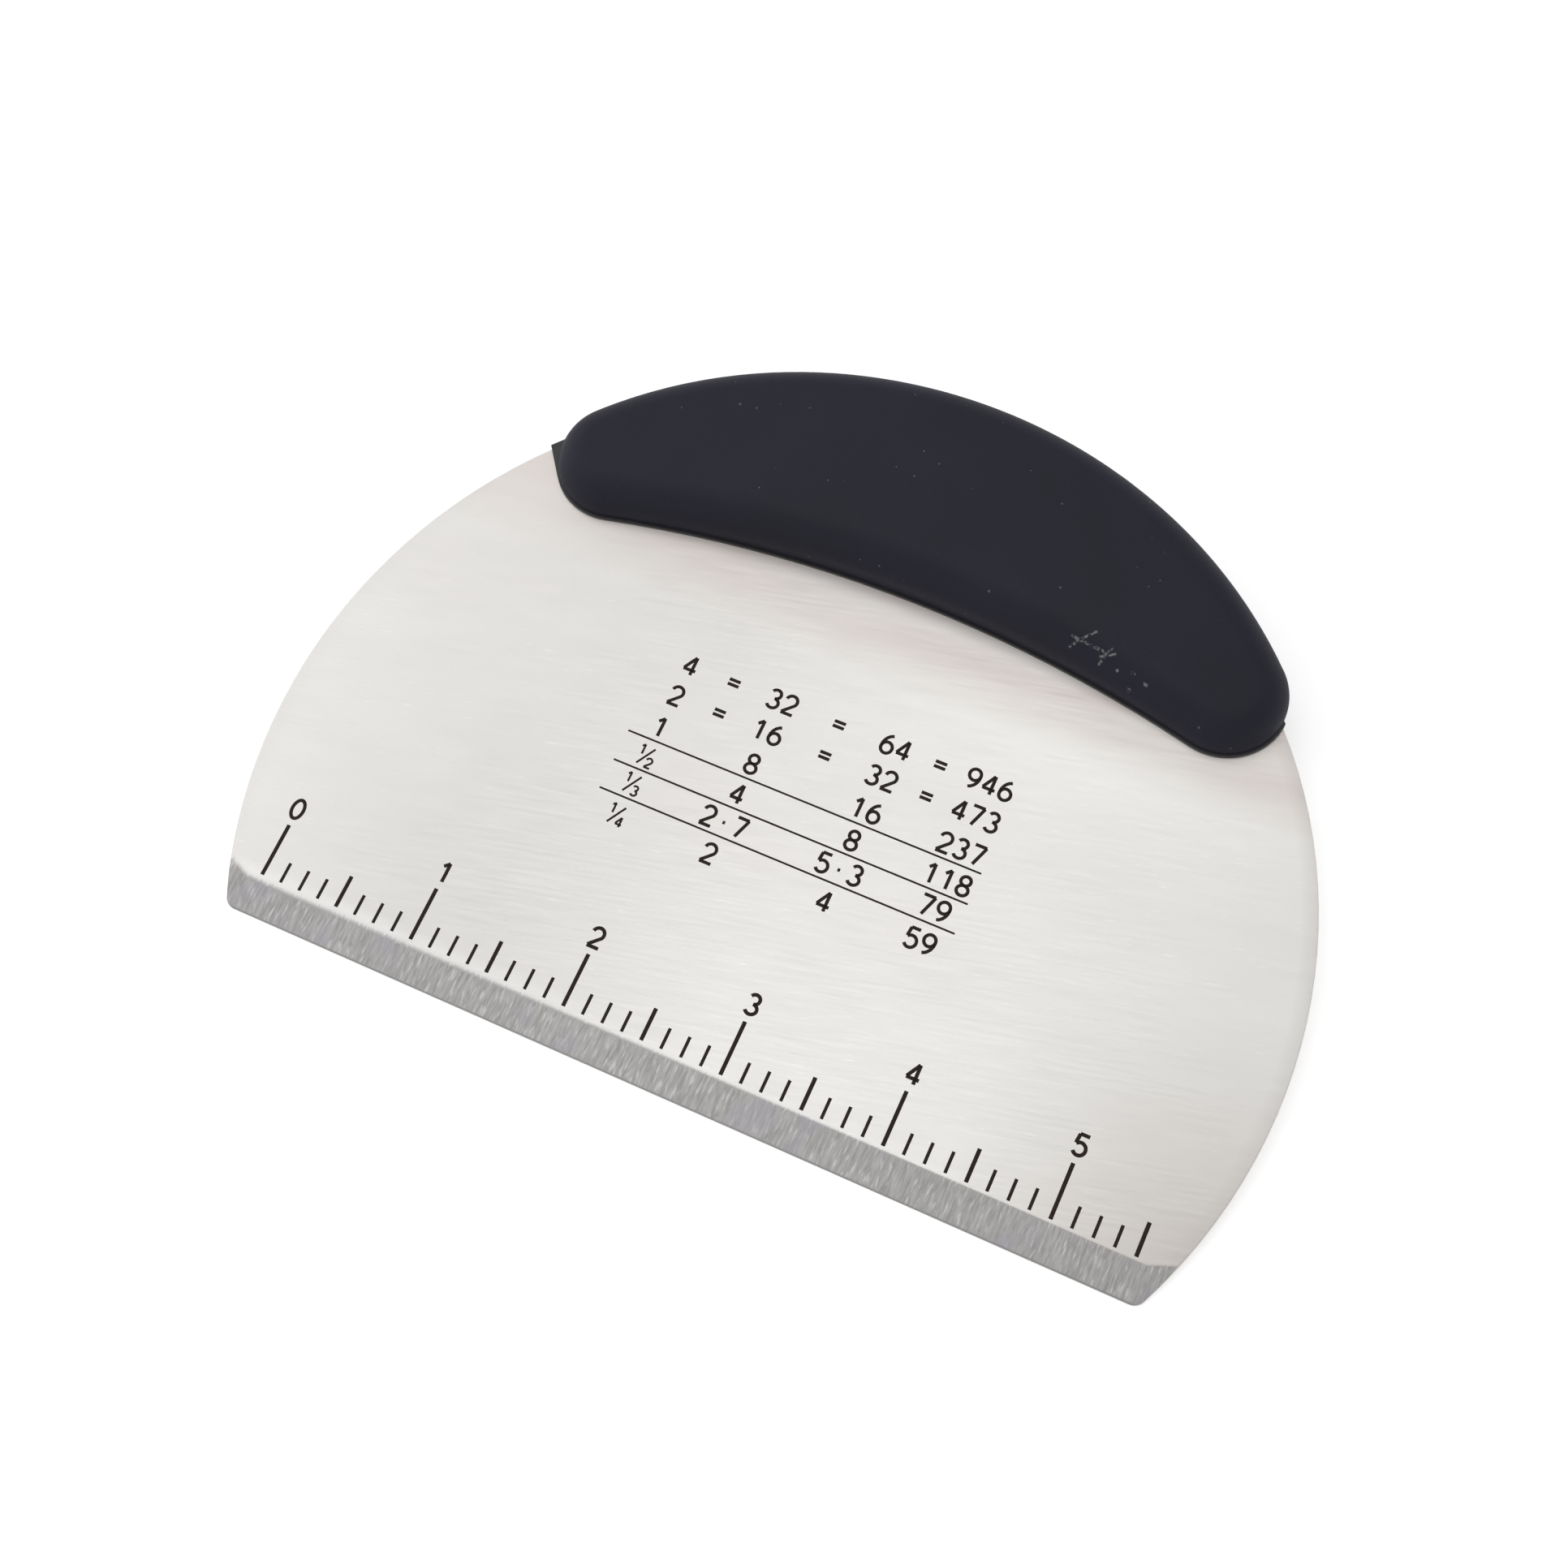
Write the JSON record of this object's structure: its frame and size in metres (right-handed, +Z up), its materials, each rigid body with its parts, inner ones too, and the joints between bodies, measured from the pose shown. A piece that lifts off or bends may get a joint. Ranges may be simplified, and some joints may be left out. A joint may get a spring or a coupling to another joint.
{
  "type": "half-moon dough scraper",
  "caption": "Half-round steel scraper with a bevelled straight edge and ruler, in a crescent soft-grip handle, for cutting dough and scraping a bowl or bench.",
  "frame": {"origin": "middle of the back corner of the straight scraping edge, on the surface that the scraper lies on", "axes": "+X along the straight edge towards the ruler's high end, +Y from the edge to the handle, +Z up from the surface, out of the ruler side"},
  "size_m": [0.1616, 0.1193, 0.0204],
  "materials": {
    "blade_steel": "fine brushed, with a ground bevel and etched marks",
    "core_plastic": "plain moulded",
    "grip_rubber": "matte soft-touch"
  },
  "bodies": {
    "root": {"blade": "blade_steel", "handle_core": "core_plastic", "soft_grip": "grip_rubber"}
  },
  "joints": []
}
